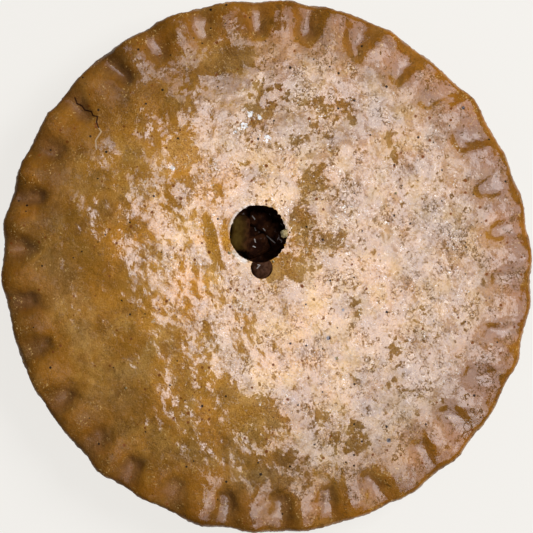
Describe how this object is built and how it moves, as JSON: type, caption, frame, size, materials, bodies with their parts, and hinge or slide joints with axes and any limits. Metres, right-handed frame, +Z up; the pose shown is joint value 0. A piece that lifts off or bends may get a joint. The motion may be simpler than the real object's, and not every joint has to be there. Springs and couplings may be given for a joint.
{
  "type": "apple tart",
  "caption": "Whole round apple tart out of its tin, glazed golden-brown lid, finger-crimped rim and a small fluted vent that shows the dark apple filling.",
  "frame": {"origin": "middle of the flat base, on the surface the tart stands on", "axes": "+Z up out of the lid; seen from above +X points right and +Y away, with the vent on the +Y side of the middle"},
  "size_m": [0.2402, 0.2406, 0.0365],
  "materials": {
    "pastry": "egg-glazed golden-brown shortcrust, glossy in patches, with dark specks",
    "apple": "wet dark brown apple in spiced syrup",
    "syrup": "glossy translucent dark syrup"
  },
  "bodies": {
    "root": {"crust": "pastry", "filling": "apple", "syrup_drop": "syrup"}
  },
  "joints": []
}
